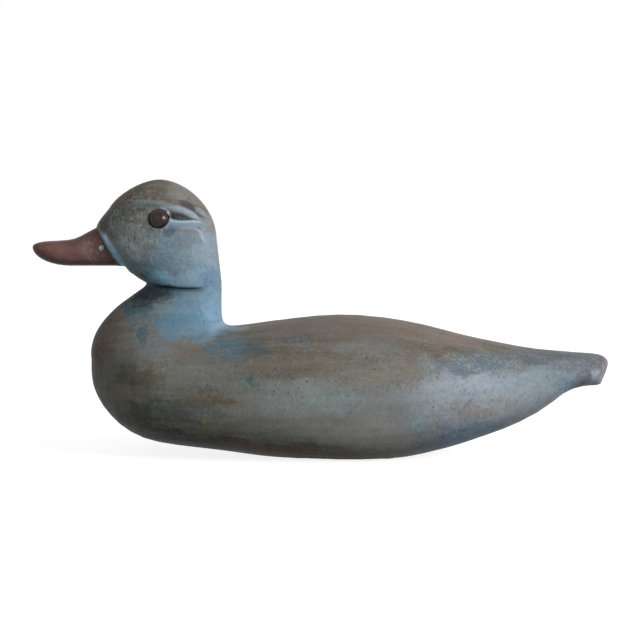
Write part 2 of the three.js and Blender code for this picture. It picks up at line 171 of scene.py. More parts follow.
def fine_skin(name, node, plugs, voxel):
    """The outside of a CAD node as an even fine mesh. Plugs, as lathe profiles, shut its hollow."""
    made = bmesh.new()
    made.from_mesh(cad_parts[node].data)
    for profile, foot, axis in plugs:
        add_lathe(made, profile, foot, axis)
    bmesh.ops.remove_doubles(made, verts=made.verts, dist=SAME_POINT * MM)
    rough = bpy.data.meshes.new(name)
    made.to_mesh(rough)
    made.free()
    holder = bpy.data.objects.new(name, rough)
    bpy.context.scene.collection.objects.link(holder)
    remesh = holder.modifiers.new("fine", "REMESH")
    remesh.mode = "VOXEL"
    remesh.voxel_size = voxel * MM
    seen = holder.evaluated_get(bpy.context.evaluated_depsgraph_get())
    fine = bpy.data.meshes.new_from_object(seen)
    bpy.data.objects.remove(holder)
    bpy.data.meshes.remove(rough)
    outermost(fine)
    return fine


def points_of(mesh):
    points = np.empty(3 * len(mesh.vertices))
    mesh.vertices.foreach_get("co", points)
    return points.reshape(-1, 3)


def normals_of(mesh):
    normals = np.empty(3 * len(mesh.vertices))
    mesh.vertex_normals.foreach_get("vector", normals)
    return normals.reshape(-1, 3)


def set_points(mesh, points):
    mesh.vertices.foreach_set("co", points.ravel())
    mesh.update()


def set_share(mesh, name, shares):
    """Keeps a number for each point, for the finishes."""
    mesh.attributes.new(name, "FLOAT", "POINT").data.foreach_set("value", shares.astype(np.float32))


def set_tint(mesh, name, colours):
    """Keeps a colour for each point, for the finishes."""
    rows = np.column_stack((colours, np.ones(len(colours)))).astype(np.float32)
    mesh.attributes.new(name, "FLOAT_COLOR", "POINT").data.foreach_set("color", rows.ravel())


RELAX_STEP = 0.5  # of the way to the middle of a point's neighbours
RELAX_BACK = -0.52  # slightly more, the other way, which keeps the volume


def relax(mesh, rounds, weights=1.0, keep_volume=True):
    """Evens out a mesh: each round moves points towards the middle of their neighbours."""
    points = points_of(mesh)
    edges = np.empty(2 * len(mesh.edges), dtype=np.int32)
    mesh.edges.foreach_get("vertices", edges)
    first, second = edges.reshape(-1, 2).T
    ends = np.concatenate((first, second))
    others = np.concatenate((second, first))
    count = np.bincount(ends, minlength=len(points))
    weights = np.broadcast_to(weights, len(points))[:, None]
    steps = (RELAX_STEP, RELAX_BACK) if keep_volume else (RELAX_STEP,)
    for step in steps * rounds:
        sums = [np.bincount(ends, points[others, axis], len(points)) / count for axis in range(3)]
        points = points + step * weights * (np.stack(sums, 1) - points)
    set_points(mesh, points)


def unevenness(points, size, seed):
    """A soft value from -1 to 1 at each point, in metres, that changes over about that many mm."""
    shift = Vector((seed, 2 * seed, 3 * seed))
    return np.array([noise.noise(Vector(point) / (size * MM) + shift) for point in points])


CORNER_CUTS = 3
CORNER_SHARE = 0.25  # each cut takes this share of a stretch off at both ends


def rounded_line(corners):
    """A line in the side view, as x and z, with its corners cut round."""
    line = np.array(corners)
    for _ in range(CORNER_CUTS):
        start, end = line[:-1], line[1:]
        step = CORNER_SHARE * (end - start)
        cut = np.stack((start + step, end - step), 1).reshape(-1, 2)
        line = np.vstack((line[:1], cut, line[-1:]))
    return line


def from_line(places, line):
    """Distance of each place from a line, and how far along the line it lies, from 0 to 1."""
    nearest = np.full(len(places), np.inf)
    along = np.zeros(len(places))
    lengths = np.linalg.norm(np.diff(line, axis=0), axis=1)
    done = np.concatenate(((0,), np.cumsum(lengths)))
    for i, length in enumerate(lengths):
        way = (line[i + 1] - line[i]) / length
        run = np.clip((places - line[i]) @ way, 0, length)
        gap = np.linalg.norm(places - line[i] - run[:, None] * way, axis=1)
        closer = gap < nearest
        nearest[closer] = gap[closer]
        along[closer] = (done[i] + run[closer]) / done[-1]
    return nearest, along


# Joint between neck and head: places along it are from its middle, - towards the bill, and heights over it

SKIN_REACH = 15  # the skin lies further than this from the joint's axis, spigot and bore nearer
CREASE_REACH = 12  # the crease's painted shade is laid further than this from the axis

CREASE_ALONG = (-26, -20.6, -14.9, -8.6, 0, 5.7, 15.4, 20.5, 26)
CREASE_LEVEL = (2.2, 2, 1, -0.2, -1.2, -1.5, -1.3, -0.2, 0)  # its height at those places
CREASE_FRONT, CREASE_BACK = (-24, -16), (20, 13)  # ramps along it for the band of painted shade in the crease
CREASE_DROP, CREASE_WIDTH = 0.6, 1.4  # the painted shade's band lies this much lower

TUCK, TUCK_HEIGHT = 1.2, 4.5  # the neck draws in this much under the cheeks
TUCK_FRONT, TUCK_BACK = (-22, -12), (16, 4)
RIM_LIFT = (-9, -0.5)  # ramp of height for the part of the neck that rises to the chin
THROAT = (-16, -24)  # ramp along it towards the throat
THROAT_INSET, INSET_LEVEL, INSET_HEIGHT = 1.3, -3, 6  # the throat draws in this much there
THROAT_FILLET, FILLET_LEVEL, FILLET_HEIGHT = 2.1, -0.3, 1.4  # and its corner is filled by this much

JAW_RADIUS = 1.8  # of the cheeks' lower edge
JAW_FRONT, JAW_BACK = (-24, -16), (18, 6)
NAPE = (17, 22)  # ramp along it towards the nape
NAPE_INSET = 1.5  # the head draws in this much beside the nape, where the crease runs out
NAPE_FRONT, NAPE_BACK = (12, 18), (26, 20)
NAPE_LAP = 4  # the head's skin runs down over the neck this far at the nape
LAP_TAPER, LAP_SWELL = 0.3, 0.12  # the lap's rim draws in, and the skin round it stands out, this much
LAP_RIM, LAP_HEIGHT = (2.5, 0.6), (12, 2)  # ramps of distance from the joint's level
CHEEK_HANG = (10, 0)  # ramp of height for the part of the cheeks that sags


def at_joint(mesh):
    """Points from the joint's middle, their distance from its axis, and the crease's level there."""
    spots = points_of(mesh) / MM - JOINT_PLACE
    return spots, np.linalg.norm(spots[:, :2], axis=1), np.interp(spots[:, 0], CREASE_ALONG, CREASE_LEVEL)


def draw_in(spots, out, inset):
    """Moves the skin's points that far towards the joint's axis."""
    spots[:, :2] *= np.where(out > SKIN_REACH, 1 - inset / np.maximum(out, 1), 1)[:, None]


# Painted shade in the crease under the cheeks, kept as a number on each point
def mark_crease_shade(mesh):
    spots, out, level = at_joint(mesh)
    band = bell(spots[:, 2] - level + CREASE_DROP, CREASE_WIDTH)
    set_share(mesh, "crease_shade", band * window(spots[:, 0], CREASE_FRONT, CREASE_BACK) * (out > CREASE_REACH))


def fit_neck(body):
    """Draws the neck in under the cheeks, lifts its rim to the chin and rounds the throat's corner."""
    spots, out, level = at_joint(body)
    along, above = spots[:, 0].copy(), spots[:, 2].copy()
    skin = out > SKIN_REACH
    draw_in(spots, out, TUCK * bell(above, TUCK_HEIGHT) * window(along, TUCK_FRONT, TUCK_BACK))
    lift = np.maximum(0, level) * smoothstep(*RIM_LIFT, above) * skin
    inset = THROAT_INSET * bell(above - INSET_LEVEL, INSET_HEIGHT)
    fillet = THROAT_FILLET * bell(above - FILLET_LEVEL, FILLET_HEIGHT)
    spots[:, 0] += lift + (inset - fillet) * smoothstep(*THROAT, along) * skin
    spots[:, 2] += lift
    set_points(body, (spots + JOINT_PLACE) * MM)
    mark_crease_shade(body)


def fit_head(head):
    """Hangs the cheeks' rounded edge along the crease and runs the nape down over the neck."""
    spots, out, level = at_joint(head)
    along, above = spots[:, 0].copy(), spots[:, 2].copy()
    left = np.clip(JAW_RADIUS - np.maximum(above, 0), 0, JAW_RADIUS)
    inset = JAW_RADIUS - np.sqrt(JAW_RADIUS**2 - left**2)
    inset *= window(along, JAW_FRONT, JAW_BACK)
    inset += NAPE_INSET * window(along, NAPE_FRONT, NAPE_BACK) * smoothstep(*CHEEK_HANG, above)
    rim = smoothstep(*LAP_RIM, np.abs(above))
    nape = smoothstep(*NAPE, along)
    inset += nape * (LAP_TAPER * rim - LAP_SWELL * smoothstep(*LAP_HEIGHT, np.abs(above)))
    draw_in(spots, out, inset)
    hang = np.minimum(0, level) * smoothstep(*CHEEK_HANG, above)
    spots[:, 2] += np.where(out > SKIN_REACH, hang - NAPE_LAP * nape * rim, 0)
    set_points(head, (spots + JOINT_PLACE) * MM)
    mark_crease_shade(head)


# Body

FLARE_X, FLARE_REACH = -100, (58, 40)  # middle of the neck's flare, and ramp of distance from it
FLARE_LOW, FLARE_TOP = (62, 72), (111, 104)  # ramps of height
FLARE_CHEST = (-66, -78)  # ramp along it, from the back, which is softened less, to the chest
FLARE_BACK_SHARE, FLARE_ROUNDS = 0.3, 50
TAIL_CORNER_HEIGHT, TAIL_CORNER_ALONG = (58, 47), (176, 188)  # ramps towards the tail's lower corner
TAIL_SLANT = 1.4  # the tail's end leans in by this much at its lower edge
TAIL_DROP = 0.8  # and its lower corner hangs by this much
WAVES = ((0.35, 35, 1.7), (0.12, 11, 4.1))  # height, size and seed of the surface's unevenness
WAVES_LOW, WAVES_TOP = (4, 12), (112, 106)  # ramps of height, which keep it off the foot and the joint


def make_body():
    """The body's skin, soft where the neck flares, fitted to the head and slightly uneven."""
    bore_plug = cup(radius=18, bore=14.2, start=-5, bore_end=-14.5, end=-17.5)
    hole_plug = cup(radius=16, bore=13.3, start=6, bore_end=17.5, end=20)
    plugs = [(bore_plug, Vector((NECK_X, 0, JOINT)), UP), (hole_plug, Vector((HOLE_X, 0, FOOT)), UP)]
    body = fine_skin("body", "body_shell", plugs, BODY_VOXEL)
    relax(body, 4)
    along, _, height = points_of(body).T / MM
    flare = smoothstep(*FLARE_REACH, np.abs(along - FLARE_X)) * window(height, FLARE_LOW, FLARE_TOP)
    flare *= FLARE_BACK_SHARE + (1 - FLARE_BACK_SHARE) * smoothstep(*FLARE_CHEST, along)
    relax(body, FLARE_ROUNDS, flare, keep_volume=False)
    fit_neck(body)
    points = points_of(body)
    corner = smoothstep(*TAIL_CORNER_HEIGHT, points[:, 2] / MM)
    corner *= smoothstep(*TAIL_CORNER_ALONG, points[:, 0] / MM)
    points -= corner[:, None] * np.array((TAIL_SLANT, 0, TAIL_DROP)) * MM
    waves = sum(rise * unevenness(points, size, seed) for rise, size, seed in WAVES)
    waves *= window(points[:, 2] / MM, WAVES_LOW, WAVES_TOP)
    set_points(body, points + normals_of(body) * (waves * MM)[:, None])
    return new_piece("body_skin", body, "glaze", "body_shell")


# Head, with its carved lines in the side view as x and z

BROW = [
    (-128, 167.6), (-119.5, 168.4), (-111, 168.3), (-103.5, 167.4), (-96, 165.2),
    (-91, 163.6), (-83.7, 160.7), (-79.9, 158.1), (-76.6, 155.9),
]
BROW_SHADE = [(-123.5, 165.9), (-117, 166.1), (-110, 165.6), (-102.5, 164.9)]
BROW_LIGHT = [(-99.5, 165.2), (-96, 164.8), (-91, 163.9), (-83.7, 161.2), (-79.9, 158.4), (-76.6, 155.9)]
LID_TOP = [(-105, 164.5), (-101.6, 164.1), (-99.2, 162.7)]
UPPER_STROKE = [(-93.5, 170), (-89, 168.6), (-84.1, 165.8), (-81.1, 163.3), (-76.8, 159.6), (-74.9, 157.4)]
UPPER_RIM = [(-82, 166), (-80.3, 164.6), (-76.1, 161.1), (-74.4, 158.8)]
FRONT_STROKE = [(-121.7, 163.6), (-116.2, 164), (-111.1, 163.7)]
EYE_STROKE = [(-98.4, 160.2), (-91.8, 159.2), (-86, 158), (-79.6, 156.7)]
EYE_OLIVE = [(-92, 159), (-88.5, 158.4), (-85, 157.8)]
EYE_LINE = [(-97.4, 156.9), (-93.2, 155.6), (-88.3, 155.7), (-81.2, 155.9), (-77.5, 155.3), (-73.4, 153)]
EYE_ROLL = [(-97.6, 154.3), (-93.1, 153.3), (-85.9, 153.6), (-79.7, 153.4), (-75.6, 152.4)]
UNDER_EYE_SHADE = [(-102.9, 148.3), (-99.4, 147.8), (-95.5, 148.8), (-92.6, 150.3)]
CHEEK_EDGE = [
    (-92.8, 150.7), (-88.2, 150.9), (-83.4, 150.8), (-79.6, 150.3),
    (-77.7, 148.4), (-76.3, 145.6), (-74.4, 140.3),
]
CHEEK_CORNER = [(-81, 150.6), (-78.8, 149.8), (-77.4, 147.6), (-76, 144.6), (-74.4, 140.3)]
# Line, half width, rise, shares of its length over which it fades at the start and at the end, and the
# colour to paint on it with its strength
CARVING = [
    (UPPER_STROKE, 2.0, -0.7, 0.25, 0.3, (66, 62, 66), 0.9),
    (UPPER_RIM, 1.3, 0.4, 0.3, 0.4, (144, 156, 160), 0.5),
    (BROW, 1.8, 0.8, 0.2, 0.15, (126, 139, 138), 0.38),
    (BROW_LIGHT, 1.9, 0.1, 0.3, 0.3, (144, 160, 170), 0.75),
    (BROW_SHADE, 1.5, -0.3, 0.25, 0.2, (84, 102, 110), 0.75),
    (LID_TOP, 0.9, 0.3, 0.4, 0.3, (140, 160, 174), 0.7),
    (FRONT_STROKE, 1.0, -0.4, 0.3, 0.3, (72, 60, 58), 0.75),
    (EYE_ROLL, 1.7, 0.7, 0.1, 0.3, (112, 138, 156), 0.8),
    (EYE_STROKE, 2.2, -1.3, 0.05, 0.6, (44, 34, 34), 1.0),
    (EYE_OLIVE, 1.2, 0.0, 0.4, 0.4, (92, 90, 74), 0.35),
    (EYE_LINE, 0.8, 0.5, 0.05, 0.35, (154, 174, 184), 0.85),
    # painted shade in the recess under the eye
    (UNDER_EYE_SHADE, 2.3, -0.8, 0.25, 0.3, (74, 92, 104), 0.8),
    (CHEEK_EDGE, 1.1, 0.6, 0.15, 0.4, (146, 136, 135), 0.5),
    (CHEEK_CORNER, 1.0, 0.3, 0.3, 0.5, (156, 170, 180), 0.65),
]
END_SLACK = 0.01  # share of a line's length by which its fades start outside it
COLOUR_EDGE, COLOUR_CORE = 1.6, 0.5  # half widths at which a line's colour begins and is full
COLOUR_TAPER = 0.25  # share of its width that the colour keeps at a line's ends
COLOUR_FADE = 0.3  # power of the fade, so that the colour holds out longer than the rise
SIDEWAYS = (0.12, 0.4)  # ramp of how far the skin faces sideways, where the lines are carved

# The eye's surround: ramps and angles are degrees round the eye, from 0 towards the tail up to 90 on top
LID_RADIUS, LID_WIDTH, LID_RISE = 7.0, 0.8, 0.6
LID_LOW, LID_HIGH = (-100, -40), (70, 40)
LID_PAINT, LID_PAINT_RADIUS, LID_PAINT_WIDTH = paint(150, 156, 172), 7.1, 1.0
LID_PAINT_LOW, LID_PAINT_HIGH = (-90, -20), (20, -5)
# Painted highlight on the lid, above and behind the eye
GLINT, GLINT_WIDTH = paint(196, 196, 198), 0.9
GLINT_TURN, GLINT_SPREAD = 34, 13

# The bill's collar: distances are behind the bill's root
ROLL, ROLL_WIDTH, ROLL_RISE = 2.4, 1.8, 1.3
GROOVE, GROOVE_WIDTH, GROOVE_DEPTH = 6.6, 1.9, 0.5
BAND, BAND_WIDTH = 3.4, 1.4
CHIN_RISE, CHIN_SHIFT, CHIN_WIDTH = 0.5, 0.4, 0.5  # what the low part adds to rise, band's place and width
COLLAR_CHIN, COLLAR_TOP_FADE = (143, 132), (154, 145)  # ramps of height
COLLAR_TOP_PAINT, COLLAR_MIDDLE_PAINT = (143, 148), (150, 144)
COLLAR_DOWN, COLLAR_UP = (-0.75, -0.35), (0.6, 0.2)  # ramps of how far the skin faces up
# Dark seam at the bill's root with painted shade on the front of the roll; a pale blue band with painted
# light on the roll's rear slope, brightest low down
COLLAR_SEAM_AND_SHADE = paint(58, 56, 58)
COLLAR_TOP = paint(180, 174, 162)
COLLAR_MIDDLE_BLUE_AND_LIGHT = paint(166, 190, 226)
COLLAR_LOW_BLUE_AND_LIGHT = paint(176, 234, 255)
LIP_REACH, LIP_SHARE = 5, 0.2  # skin this near the root keeps this share of its depth under the bill

# The profile over the bill is filled at the root and lowered further up
FOREHEAD_FILL, FOREHEAD_WIDTH = 0.7, 4
BROW_BONE, BROW_BONE_WIDTH = 11, 5
FOREHEAD_MIDDLE, FOREHEAD_LOW = (0.75, 0.35), (146, 151)  # ramps of facing sideways, and of height


class Coat:
    """Colours laid over each other on a mesh's points."""

    def __init__(self, count):
        self.tint = np.zeros((count, 3))
        self.cover = np.zeros(count)

    def lay(self, share, colour):
        self.tint = self.tint * (1 - share)[:, None] + share[:, None] * np.array(colour[:3])
        self.cover = self.cover * (1 - share) + share


def carve_lines(places, sideways, coat):
    """Lays on the carved lines' colours and gives how far they raise the skin."""
    rise = np.zeros(len(places))
    for line, width, height, fade_in, fade_out, colour, strength in CARVING:
        gap, along = from_line(places, rounded_line(line))
        ends = window(along, (-END_SLACK, fade_in), (1 + END_SLACK, 1 - fade_out))
        rise += height * bell(gap, width) * ends
        narrowed = gap / np.maximum(COLOUR_TAPER, ends)
        core = smoothstep(COLOUR_EDGE * width, COLOUR_CORE * width, narrowed) * ends**COLOUR_FADE
        coat.lay(strength * core * sideways, paint(*colour))
    return rise


def carve_lid(places, sideways, coat):
    """Lays on the colours of the lid round the eye, with a painted highlight on its rim, and gives how far
    it raises the skin.
    """
    from_eye = places - EYE_PLACE
    reach = np.linalg.norm(from_eye, axis=1)
    turn = np.degrees(np.arctan2(from_eye[:, 1], from_eye[:, 0]))
    painted = bell(reach - LID_PAINT_RADIUS, LID_PAINT_WIDTH) * window(turn, LID_PAINT_LOW, LID_PAINT_HIGH)
    coat.lay(0.7 * painted * sideways, LID_PAINT)
    # Painted highlight on the lid's rim
    glint = bell(reach - LID_RADIUS, GLINT_WIDTH) * bell(turn - GLINT_TURN, GLINT_SPREAD)
    coat.lay(0.8 * glint * sideways, GLINT)
    return LID_RISE * bell(reach - LID_RADIUS, LID_WIDTH) * window(turn, LID_LOW, LID_HIGH)


def carve_collar(behind, height, facing_up, coat):
    """Lays on the colours of the bill's collar, a dark seam with painted shade in front of its roll and a
    pale blue band with painted light behind it, and gives how far it raises the skin.
    """
    low = smoothstep(*COLLAR_CHIN, height)
    band = bell(behind - BAND - CHIN_SHIFT * low, BAND_WIDTH + CHIN_WIDTH * low)
    # Dark seam and painted shade in front of the roll, then the pale band with painted light
    coat.lay(0.7 * bell(behind - 0.8, 0.9), COLLAR_SEAM_AND_SHADE)
    coat.lay(0.6 * bell(behind - 1.7, 1.0) * smoothstep(*COLLAR_TOP_PAINT, height), COLLAR_TOP)
    coat.lay(0.85 * band * smoothstep(*COLLAR_MIDDLE_PAINT, height), COLLAR_MIDDLE_BLUE_AND_LIGHT)
    coat.lay(0.9 * band * low, COLLAR_LOW_BLUE_AND_LIGHT)
    roll = (ROLL_RISE + CHIN_RISE * low) * bell(behind - ROLL, ROLL_WIDTH)
    roll -= GROOVE_DEPTH * bell(behind - GROOVE, GROOVE_WIDTH)
    return roll * window(facing_up, COLLAR_DOWN, COLLAR_UP) * smoothstep(*COLLAR_TOP_FADE, height)


def carve(head):
    """Carves the brow, the eye's surround, the cheek and the bill's collar, the same on both sides."""
    spots = points_of(head) / MM
    normals = normals_of(head)
    places = spots[:, (0, 2)]
    height = spots[:, 2].copy()
    facing = np.abs(normals[:, 1])
    sideways = smoothstep(*SIDEWAYS, facing)
    behind = (places - ROOT_PLACE) @ np.array((math.cos(ROOT_SLANT), math.sin(ROOT_SLANT)))
    coat = Coat(len(spots))
    rise = carve_lines(places, sideways, coat)
    rise += carve_lid(places, sideways, coat)
    rise = rise * sideways + carve_collar(behind, height, normals[:, 2], coat)
    forehead = bell(behind, FOREHEAD_WIDTH) - bell(behind - BROW_BONE, BROW_BONE_WIDTH)
    front = smoothstep(*FOREHEAD_MIDDLE, facing) * smoothstep(*FOREHEAD_LOW, height)
    rise += FOREHEAD_FILL * front * forehead
    set_tint(head, "carving", coat.tint)
    set_share(head, "carved", coat.cover)
    spots += normals * rise[:, None]
    lip = (behind < LIP_REACH) & (spots[:, 2] < BILL_BOTTOM)
    spots[lip, 2] = BILL_BOTTOM + LIP_SHARE * (spots[lip, 2] - BILL_BOTTOM)
    set_points(head, spots * MM)


def tip_of(node, axis):
    """The point of a CAD node that lies furthest along an axis."""
    return max((corner.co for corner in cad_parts[node].data.vertices), key=axis.dot).copy()


def eye_rims():
    """The middle of each eye's rim and the way the eye looks, by node."""
    rims = {}
    for name, side in (("left_eye", -1), ("right_eye", 1)):
        axis = Vector((-math.sin(EYE_FORWARD), side * math.cos(EYE_UP), math.sin(EYE_UP))).normalized()
        rims[name] = (tip_of(name, axis) - axis * EYE_DOME * MM, axis)
    return rims


SPIGOT_DEPTH = 12.9  # the head's plug starts just inside the spigot's lower end


def make_head(eyes):
    """The head's skin, carved and fitted to the neck."""
    vent_plug = cup(radius=11, bore=5, start=0, bore_end=3, end=5)
    tenon_plug = cup(radius=8, bore=5.3, start=-9, bore_end=0.6, end=3)
    eye_plug = cup(radius=5, bore=2.3, start=-4, bore_end=-9.2, end=-12)
    tenon_end = tip_of("bill", TAILWARD)
    plugs = [
        (vent_plug, Vector((NECK_X, 0, JOINT - SPIGOT_DEPTH * MM)), UP),
        (tenon_plug, Vector((tenon_end.x, 0, tenon_end.z)), TAILWARD),
    ]
    plugs += [(eye_plug, rim, axis) for rim, axis in eyes.values()]
    head = fine_skin("head", "head_shell", plugs, HEAD_VOXEL)
    relax(head, 5)
    carve(head)
    fit_head(head)
    relax(head, 2)
    return new_piece("head_skin", head, "glaze", "head_shell")


# Bill, eyes and nostril studs

EYE_OVERLAP = 0.2  # an eye's bead reaches this far into the gap round the solid
NOSTRIL_RADIUS, NOSTRIL_DEPTH = 1.9, 1.5
DRUM_SHARE = 0.96  # the foot of a bead's drum has this share of its rim's radius


def make_bill():
    bill = fine_skin("bill", "bill", [], BILL_VOXEL)
    relax(bill, 6)
    return new_piece("bill_skin", bill, "bill_glaze", "bill")


def dome_profile(radius, rise, depth, steps):
    """Lathe profile of a domed bead: a short drum of that depth under a cap that rises by rise."""
    ball = (radius**2 + rise**2) / (2 * rise)
    reaches = [radius * math.cos(math.pi / 2 * i / steps) for i in range(steps)]
    cap = [(reach, math.sqrt(ball**2 - reach**2) - ball + rise) for reach in reaches]
    corners = [(0, -depth), (radius * DRUM_SHARE, -depth), *cap, (0, rise)]
    return [(out * MM, height * MM) for out, height in corners]


def make_eyes(eyes):
    profile = dome_profile(EYE_RADIUS + EYE_OVERLAP, EYE_DOME, EYE_SET, steps=14)
    pieces = []
    for name, (rim, axis) in eyes.items():
        bead = bmesh.new()
        add_lathe(bead, profile, rim, axis)
        pieces.append(new_piece(name + "_bead", bead, "eye", name))
    return pieces


def make_nostrils():
    profile = dome_profile(NOSTRIL_RADIUS, NOSTRIL_DOME, NOSTRIL_DEPTH, steps=8)
    pieces = []
    for name, side in (("left_nostril", -1), ("right_nostril", 1)):
        axis = Vector((0, side, 0))
        stud = bmesh.new()
        add_lathe(stud, profile, tip_of(name, axis) - axis * NOSTRIL_DOME * MM, axis, sides=40)
        pieces.append(new_piece(name + "_stud", stud, "nostril", name))
    return pieces


# Cork and felt discs

FELT_NODES = ("felt_front_left", "felt_front_right", "felt_rear_left", "felt_rear_right")
CORK_EDGE, CORK_FUZZ, CORK_SEED = 1.0, 0.15, 3
FELT_EDGE, FELT_FUZZ = 0.4, 0.25
EDGE_STEPS = 5
FACE_RINGS = (0.3, 0.6, 0.85)  # rings of points on a disc's flat faces, as shares of its radius
FUZZ_SIZE = 2
FUZZ_FROM = 0.9  # share of the radius beyond which a disc is uneven


def rounded_disc(node, edge, fuzz, seed):
    """A disc or plug in a CAD node's place, with rounded edges and up to fuzz worn off its side."""
    low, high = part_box(node)
    foot = Vector(((low.x + high.x) / 2, (low.y + high.y) / 2, low.z))
    radius = (high.x - low.x) / 2
    height = high.z - low.z
    edge *= MM
    arc = [math.pi / 2 * i / EDGE_STEPS for i in range(EDGE_STEPS + 1)]
    lower = [(radius - edge + edge * math.sin(a), edge - edge * math.cos(a)) for a in arc]
    upper = [(radius - edge + edge * math.cos(a), height - edge + edge * math.sin(a)) for a in arc]
    below = [(radius * share, 0) for share in FACE_RINGS]
    above = [(out, height) for out, _ in reversed(below)]
    made = bmesh.new()
    add_lathe(made, [(0, 0), *below, *lower, *upper, *above, (0, height)], foot, UP, sides=72)
    shift = Vector((seed,) * 3)
    for corner in made.verts:
        flat = Vector((corner.co.x - foot.x, corner.co.y - foot.y, 0))
        if flat.length > radius * FUZZ_FROM:
            worn = 0.5 + 0.5 * noise.noise(corner.co / (FUZZ_SIZE * MM) + shift)
            corner.co -= flat.normalized() * (fuzz * MM) * worn
    return made


def make_cork():
    made = rounded_disc("pour_hole_cork", CORK_EDGE, CORK_FUZZ, CORK_SEED)
    return new_piece("cork", made, "cork", "pour_hole_cork")


def make_felts():
    return [
        new_piece(node + "_disc", rounded_disc(node, FELT_EDGE, FELT_FUZZ, seed), "felt", node)
        for seed, node in enumerate(FELT_NODES)
    ]


# Finishes

NOISE_SPLIT = (0.35, 0.65)  # ramp that splits a noise softly in two


def add_node(tree, kind, inputs=(), **settings):
    """A new node with its settings, and with inputs set to values or linked to other nodes' outputs."""
    made = tree.nodes.new(kind)
    for name, value in settings.items():
        setattr(made, name, value)
    for socket, value in dict(inputs).items():
        if isinstance(value, bpy.types.NodeSocket):
            tree.links.new(value, made.inputs[socket])
        else:
            made.inputs[socket].default_value = value
    return made


class Finish:
    """A node material, with short calls for the nodes that the finishes here are made of."""

    def __init__(self, name, **values):
        self.material = bpy.data.materials.new(name)
        self.material.use_nodes = True
        self.tree = self.material.node_tree
        self.shader = self.tree.nodes["Principled BSDF"]
        for socket, value in values.items():
            self.shader.inputs[socket.replace("_", " ")].default_value = value
        place = self.node("ShaderNodeTexCoord")
        self.place = self.vector("SCALE", place.outputs["Object"], scale=1 / MM)
        self.normal = place.outputs["Normal"]

    def node(self, kind, inputs=(), **settings):
        return add_node(self.tree, kind, inputs, **settings)

    def vector(self, operation, first, second=(0, 0, 0), third=(0, 0, 0), scale=1.0):
        inputs = {0: first, 1: second, 2: third, 3: scale}
        made = self.node("ShaderNodeVectorMath", inputs, operation=operation)
        return made.outputs["Value" if operation == "LENGTH" else "Vector"]

    def math(self, operation, first, second=0.0, third=0.0):
        return self.node("ShaderNodeMath", {0: first, 1: second, 2: third}, operation=operation).outputs[0]

    def times(self, first, second):
        return self.math("MULTIPLY", first, second)

    def fit(self, value, factor, start):
        """The value times a factor, plus a start."""
        return self.math("MULTIPLY_ADD", value, factor, start)

    def sum(self, *parts, start=0.0):
        """The start plus each noise, taken about its middle, times its share."""
        total = start
        for value, share in parts:
            total = self.fit(self.math("SUBTRACT", value, 0.5), share, total)
        return total

    def axis(self, index, of=None):
        return self.node("ShaderNodeSeparateXYZ", {0: of or self.place}).outputs[index]

    def noise(self, size, detail=3.0, roughness=0.55, stretch=(1, 1, 1), seed=0.0):
        """Noise from 0 to 1 with features of about that size, longer along axes with a larger stretch."""
        rates = tuple(1 / (size * share) for share in stretch)
        inputs = {
            "Vector": self.vector("MULTIPLY_ADD", self.place, rates, (seed, seed, seed)),
            "Scale": 1.0,
            "Detail": detail,
            "Roughness": roughness,
        }
        return self.node("ShaderNodeTexNoise", inputs).outputs[0]

    def dots(self, spacing, radius):
        """1 inside scattered dots of that radius, one to each cell of that spacing, and 0 outside."""
        inputs = {"Vector": self.vector("SCALE", self.place, scale=1 / spacing), "Scale": 1.0}
        cells = self.node("ShaderNodeTexVoronoi", inputs)
        return self.ramp(cells.outputs["Distance"], radius / spacing, 0.6 * radius / spacing)

    def ramp(self, value, low, high):
        inputs = {"Value": value, "From Min": low, "From Max": high}
        return self.node("ShaderNodeMapRange", inputs, interpolation_type="SMOOTHSTEP").outputs["Result"]

    def bent_place(self, size, along, up):
        """Places shifted by soft noise of that size, within whole ranges of along and up."""
        rates = self.vector("SCALE", self.place, scale=1 / size)
        inputs = {"Vector": rates, "Scale": 1.0, "Detail": 4.0, "Roughness": 0.6}
        swirl = self.node("ShaderNodeTexNoise", inputs)
        middle = self.vector("SUBTRACT", swirl.outputs["Color"], (0.5, 0.5, 0.5))
        return self.vector("MULTIPLY_ADD", middle, (along, 0, up), self.place)

    def patch(self, x, z, half_length, half_height, edge, soft=0.8, place=None):
        """A patch on both sides of the bird, with an edge that the noise edge, about 0, makes ragged."""
        offset = self.vector("SUBTRACT", place or self.place, (x, 0, z))
        shares = self.vector("MULTIPLY", offset, (1 / half_length, 0, 1 / half_height))
        reach = self.math("ADD", self.vector("LENGTH", shares), edge)
        return self.ramp(reach, 1 + soft / 2, 1 - soft / 2)

    def share(self, name):
        return self.node("ShaderNodeAttribute", attribute_name=name).outputs["Fac"]

    def tint(self, name):
        return self.node("ShaderNodeAttribute", attribute_name=name).outputs["Color"]

    def mix(self, amount, first, second):
        inputs = {"Factor": amount, 6: first, 7: second}
        return self.node("ShaderNodeMix", inputs, data_type="RGBA").outputs[2]

    def lay(self, colour, over, mask, strength=1.0):
        """The colour with another laid over it where the mask is 1, at that strength."""
        return self.mix(self.times(mask, strength), colour, over)

    def colour(self, value):
        self.tree.links.new(value, self.shader.inputs["Base Color"])

    def roughness(self, value):
        self.tree.links.new(value, self.shader.inputs["Roughness"])

    def bump(self, height, depth):
        """Relief of that depth."""
        made = self.node("ShaderNodeBump", {"Height": height, "Strength": 1.0, "Distance": depth * MM})
        self.tree.links.new(made.outputs["Normal"], self.shader.inputs["Normal"])


TAUPE = paint(111, 107, 100)
UMBER = paint(98, 92, 82)
SLATE = paint(115, 117, 114)
MARK_PALE = paint(146, 149, 146)
MARK_DARK = paint(62, 62, 60)
# Painted shade for the crease under the cheeks, also used for the darker band round the tail's end
CREASE_SHADE_AND_RIM_DARK = paint(48, 56, 62)
# Painted shade under the chin
CHIN_SHADE = paint(34, 39, 44)
GOLD = paint(134, 133, 119)
PIT = paint(52, 48, 43)
CLAY_PALE = paint(132, 127, 132)
CLAY_DARK = paint(100, 93, 96)
